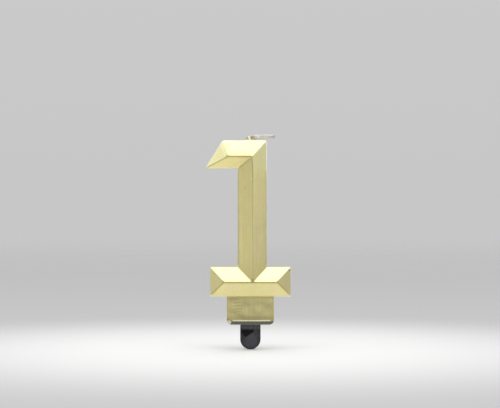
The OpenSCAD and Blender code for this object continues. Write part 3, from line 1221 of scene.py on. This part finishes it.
def make_wick(s):
    """The plaited wick, from its buried end to its frayed cut end."""
    root_along, end_along = route_lengths()
    names = ("strands", "plies", "strand_radius", "sway", "rise", "plait_pitch", "twist_pitch", "step",
             "fibre_length", "fibre_radius")
    sizes = {name.replace("_", " ").capitalize(): getattr(s, name) for name in names}
    sizes.update({
        "Level at": end_along - 0.5 * (TIP_HIGH.x - FOLD_END.x),
        "Free from": root_along + s.stain_length,
        "Cut from": end_along - 0.25 * MM,
        "Fuzz density": 1.2e6,
        "Cut density": 3.0e7,
        "Seed": 7,
    })
    cotton = wick_cotton(s, root_along, end_along)
    return grown_on_path("braided_wick", wick_route(s), plait_tree(sizes, cotton), sizes)


# Pick

def pick_outline(s):
    """Outline of the pick, anticlockwise from the front: round tongue below, barbed tang above."""
    arc_steps = 24
    half = PICK_HIGH.x
    centre = PICK_LOW.z + half
    pitch = (PICK_HIGH.z - s.tang_nose) / s.barbs
    outline = []
    for k in range(arc_steps + 1):
        turn = math.pi * (1.0 + k / arc_steps)
        outline.append((half * math.cos(turn), centre + half * math.sin(turn)))
    edge = []
    for k in range(s.barbs):
        edge.append((half, k * pitch))
        edge.append((s.tang_width / 2.0, (k + 1) * pitch))
    edge.append((s.tang_width / 2.0 - s.tang_nose, PICK_HIGH.z))
    outline.extend(edge)
    outline.extend((-x, z) for x, z in reversed(edge))
    return outline


def make_pick(s):
    """The moulded pick, with soft edges on its tongue and sharper ones on its barbed tang."""
    foot_line = 0.1 * MM
    sharp_angle = math.radians(20.0)
    outline = pick_outline(s)
    shape = bmesh.new()
    front = [shape.verts.new((x, PICK_LOW.y, z)) for x, z in outline]
    back = [shape.verts.new((x, PICK_HIGH.y, z)) for x, z in outline]
    shape.faces.new(front)
    shape.faces.new(list(reversed(back)))
    for k, vert in enumerate(front):
        after = (k + 1) % len(front)
        shape.faces.new([vert, back[k], back[after], front[after]])
    bmesh.ops.recalc_face_normals(shape, faces=shape.faces)

    def width_of(edge):
        if edge.calc_face_angle() < sharp_angle:
            return 0.0
        if max(vert.co.z for vert in edge.verts) < foot_line:
            return s.tongue_round
        return s.tang_round

    widest = weigh_edges(shape, width_of)
    pick = place_mesh("pick_moulding", mesh_from("pick_moulding", shape), pick_plastic(s))
    round_edges(pick, widest)
    flatten_normals(pick)
    return pick


# Stage

def softbox(name, place, size, glow, target):
    """An area light of a given size and brightness, turned towards a point."""
    lamp = bpy.data.lights.new(name, "AREA")
    lamp.shape = "RECTANGLE"
    lamp.size, lamp.size_y = size
    lamp.energy = glow * math.pi * size[0] * size[1]
    made = bpy.data.objects.new(name, lamp)
    bpy.context.scene.collection.objects.link(made)
    made.location = place
    made.visible_camera = False
    made.rotation_euler = (target - made.location).to_track_quat("-Z", "Y").to_euler()


def studio_world():
    """Soft light all round, bright above, darkest at eye level, with a glow behind on each side."""
    heights = ((0.0, 0.70), (0.42, 0.58), (0.5, 0.57), (0.6, 0.60), (0.75, 0.78), (1.0, 1.0))
    glows = (((-0.64, 0.76, 0.1), 0.75), ((0.64, 0.76, 0.1), 1.15))
    glow_edge, glow_middle = 0.88, 0.97
    world = bpy.data.worlds.new("studio")
    bpy.context.scene.world = world
    world.use_nodes = True
    tree = world.node_tree
    direction = node(tree, "ShaderNodeTexCoord")["Generated"]
    height = node(tree, "ShaderNodeSeparateXYZ", {0: direction})["Z"]
    sky = node(tree, "ShaderNodeValToRGB", {0: height * 0.5 + 0.5})
    stops = sky.socket.node.color_ramp.elements
    while len(stops) < len(heights):
        stops.new(0.5)
    for stop, (where, level) in zip(stops, heights):
        stop.position = where
        stop.color = (level, level, level, 1.0)
    eye_level = heights[2][1]
    for towards, glow in glows:
        closeness = vector_calc("DOT_PRODUCT", direction, Vector(towards).normalized())["Value"]
        sky = brightened(sky, fade(closeness, glow_edge, glow_middle, 1.0, glow / eye_level))
    fill(tree.nodes["Background"], {"Color": sky})


def make_floor(s):
    """A round pale floor at the lowest point of the candle."""
    disc = bmesh.new()
    bmesh.ops.create_circle(disc, cap_ends=True, segments=96, radius=s.floor_radius)
    bmesh.ops.translate(disc, verts=disc.verts, vec=(0.0, 0.0, CAD_BOX[0][2]))
    floor = place_mesh("floor", mesh_from("floor", disc), stage_floor(s))


def make_dark_screen(s):
    """A grey screen behind the camera, which only reflections show, as the dark side of a studio."""
    half_width, half_height, behind = 0.55, 0.4, 0.4
    y = -s.camera_distance - behind
    shape = bmesh.new()
    places = [(side * half_width, y, s.camera_height + up * half_height) for side, up in SIDES]
    shape.faces.new([shape.verts.new(place) for place in places])
    made = place_mesh("dark_screen", mesh_from("dark_screen", shape), grey_screen(s))
    made.visible_camera = False
    made.visible_shadow = False


def make_camera(s, rim_depth):
    """Camera square to the front, as far off as a lens for small goods stands."""
    sensor = 36.0
    lens = bpy.data.cameras.new("camera")
    lens.sensor_width = sensor
    lens.lens = sensor * s.camera_distance / s.picture_width
    lens.clip_start = 0.01
    camera = bpy.data.objects.new("camera", lens)
    bpy.context.scene.collection.objects.link(camera)
    camera.location = (-s.camera_left, -rim_depth - s.camera_distance, s.camera_height)
    camera.rotation_euler = (0.5 * math.pi, 0.0, 0.0)
    bpy.context.scene.camera = camera


# Operators

def settings():
    """The candle's settings in the open scene."""
    return bpy.context.scene.number_candle


class CANDLE_OT_stage(Operator):
    """Sets up the camera, the light and the floor"""

    bl_idname = "candle.stage"
    bl_label = "Stage"

    def execute(self, context):
        s = settings()
        context.scene.view_settings.view_transform = "Standard"
        make_camera(s.stage, s.numeral.rim_depth)
        make_floor(s.stage)
        studio_world()
        middle = Vector((0.0, 0.0, 0.5 * COAT_HIGH.z))
        softbox("overhead", place=(0.0, -0.22, 0.62), size=(0.6, 0.45), glow=1.3, target=middle)
        softbox("left_side", place=(-0.55, -0.12, 0.34), size=(0.3, 0.3), glow=0.45, target=middle)
        make_dark_screen(s.stage)
        return {"FINISHED"}


class CANDLE_OT_wax_body(Operator):
    """Gives the cast wax body its finish"""

    bl_idname = "candle.wax_body"
    bl_label = "Wax body"

    def execute(self, context):
        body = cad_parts["wax_body"]
        body.data.materials.clear()
        body.data.materials.append(candle_wax(settings().numeral))
        return {"FINISHED"}


class CANDLE_OT_numeral_coat(Operator):
    """Makes the gold lacquer coat over the numeral"""

    bl_idname = "candle.numeral_coat"
    bl_label = "Numeral coat"

    def execute(self, context):
        numeral = settings().numeral
        lacquer = gold_lacquer(numeral, "satin_gold", on_edges=False)
        # The rounded edges get their own finish, with painted highlights along the rims and painted shade
        # along the ridges.
        edge_lacquer = gold_lacquer(numeral, "edge_gold_lit_and_shaded", on_edges=True)
        coat = make_coat(numeral, lacquer, edge_lacquer)
        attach(coat, "candle")
        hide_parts("lacquer_skin")
        return {"FINISHED"}


class CANDLE_OT_root_bead(Operator):
    """Makes the lacquered bead at the root of the wick"""

    bl_idname = "candle.root_bead"
    bl_label = "Root bead"

    def execute(self, context):
        numeral = settings().numeral
        bead = make_bead(numeral, root_lacquer(numeral))
        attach(bead, "candle")
        return {"FINISHED"}


class CANDLE_OT_wick(Operator):
    """Makes the plaited wick, folded over at the top"""

    bl_idname = "candle.wick"
    bl_label = "Wick"

    def execute(self, context):
        wick = make_wick(settings().wick)
        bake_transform(wick)
        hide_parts("wick_core", "wick_bend", "wick_tip")
        return {"FINISHED"}


class CANDLE_OT_pick(Operator):
    """Makes the moulded plastic pick"""

    bl_idname = "candle.pick"
    bl_label = "Pick"

    def execute(self, context):
        pick = make_pick(settings().pick)
        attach(pick, "holder")
        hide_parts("pick")
        return {"FINISHED"}


class CANDLE_PT_panel(Panel):
    """Lists the candle's operators and settings"""

    bl_label = "Number candle"
    bl_idname = "CANDLE_PT_panel"
    bl_space_type = "VIEW_3D"
    bl_region_type = "UI"
    bl_category = "Candle"

    def draw(self, context):
        for operator in OPERATORS:
            self.layout.operator(operator.bl_idname)
        for group in (settings().numeral, settings().wick, settings().pick, settings().stage):
            box = self.layout.box()
            for name in group.bl_rna.properties.keys():
                if name not in ("rna_type", "name"):
                    box.prop(group, name)


OPERATORS = (
    CANDLE_OT_stage,
    CANDLE_OT_wax_body,
    CANDLE_OT_numeral_coat,
    CANDLE_OT_root_bead,
    CANDLE_OT_wick,
    CANDLE_OT_pick,
)
GROUPS = (NumeralSettings, WickSettings, PickSettings, StageSettings, CandleSettings)
CLASSES = GROUPS + OPERATORS + (CANDLE_PT_panel,)


def register():
    """Registers the classes and the settings."""
    for each in CLASSES:
        bpy.utils.register_class(each)
    bpy.types.Scene.number_candle = PointerProperty(type=CandleSettings)


def unregister():
    """Removes the settings and the classes."""
    del bpy.types.Scene.number_candle
    for each in reversed(CLASSES):
        bpy.utils.unregister_class(each)


def main():
    """Makes the stage and every piece, in order."""
    register()
    bpy.ops.candle.stage()
    bpy.ops.candle.wax_body()
    bpy.ops.candle.numeral_coat()
    bpy.ops.candle.root_bead()
    bpy.ops.candle.wick()
    bpy.ops.candle.pick()


if __name__ == "__main__":
    main()
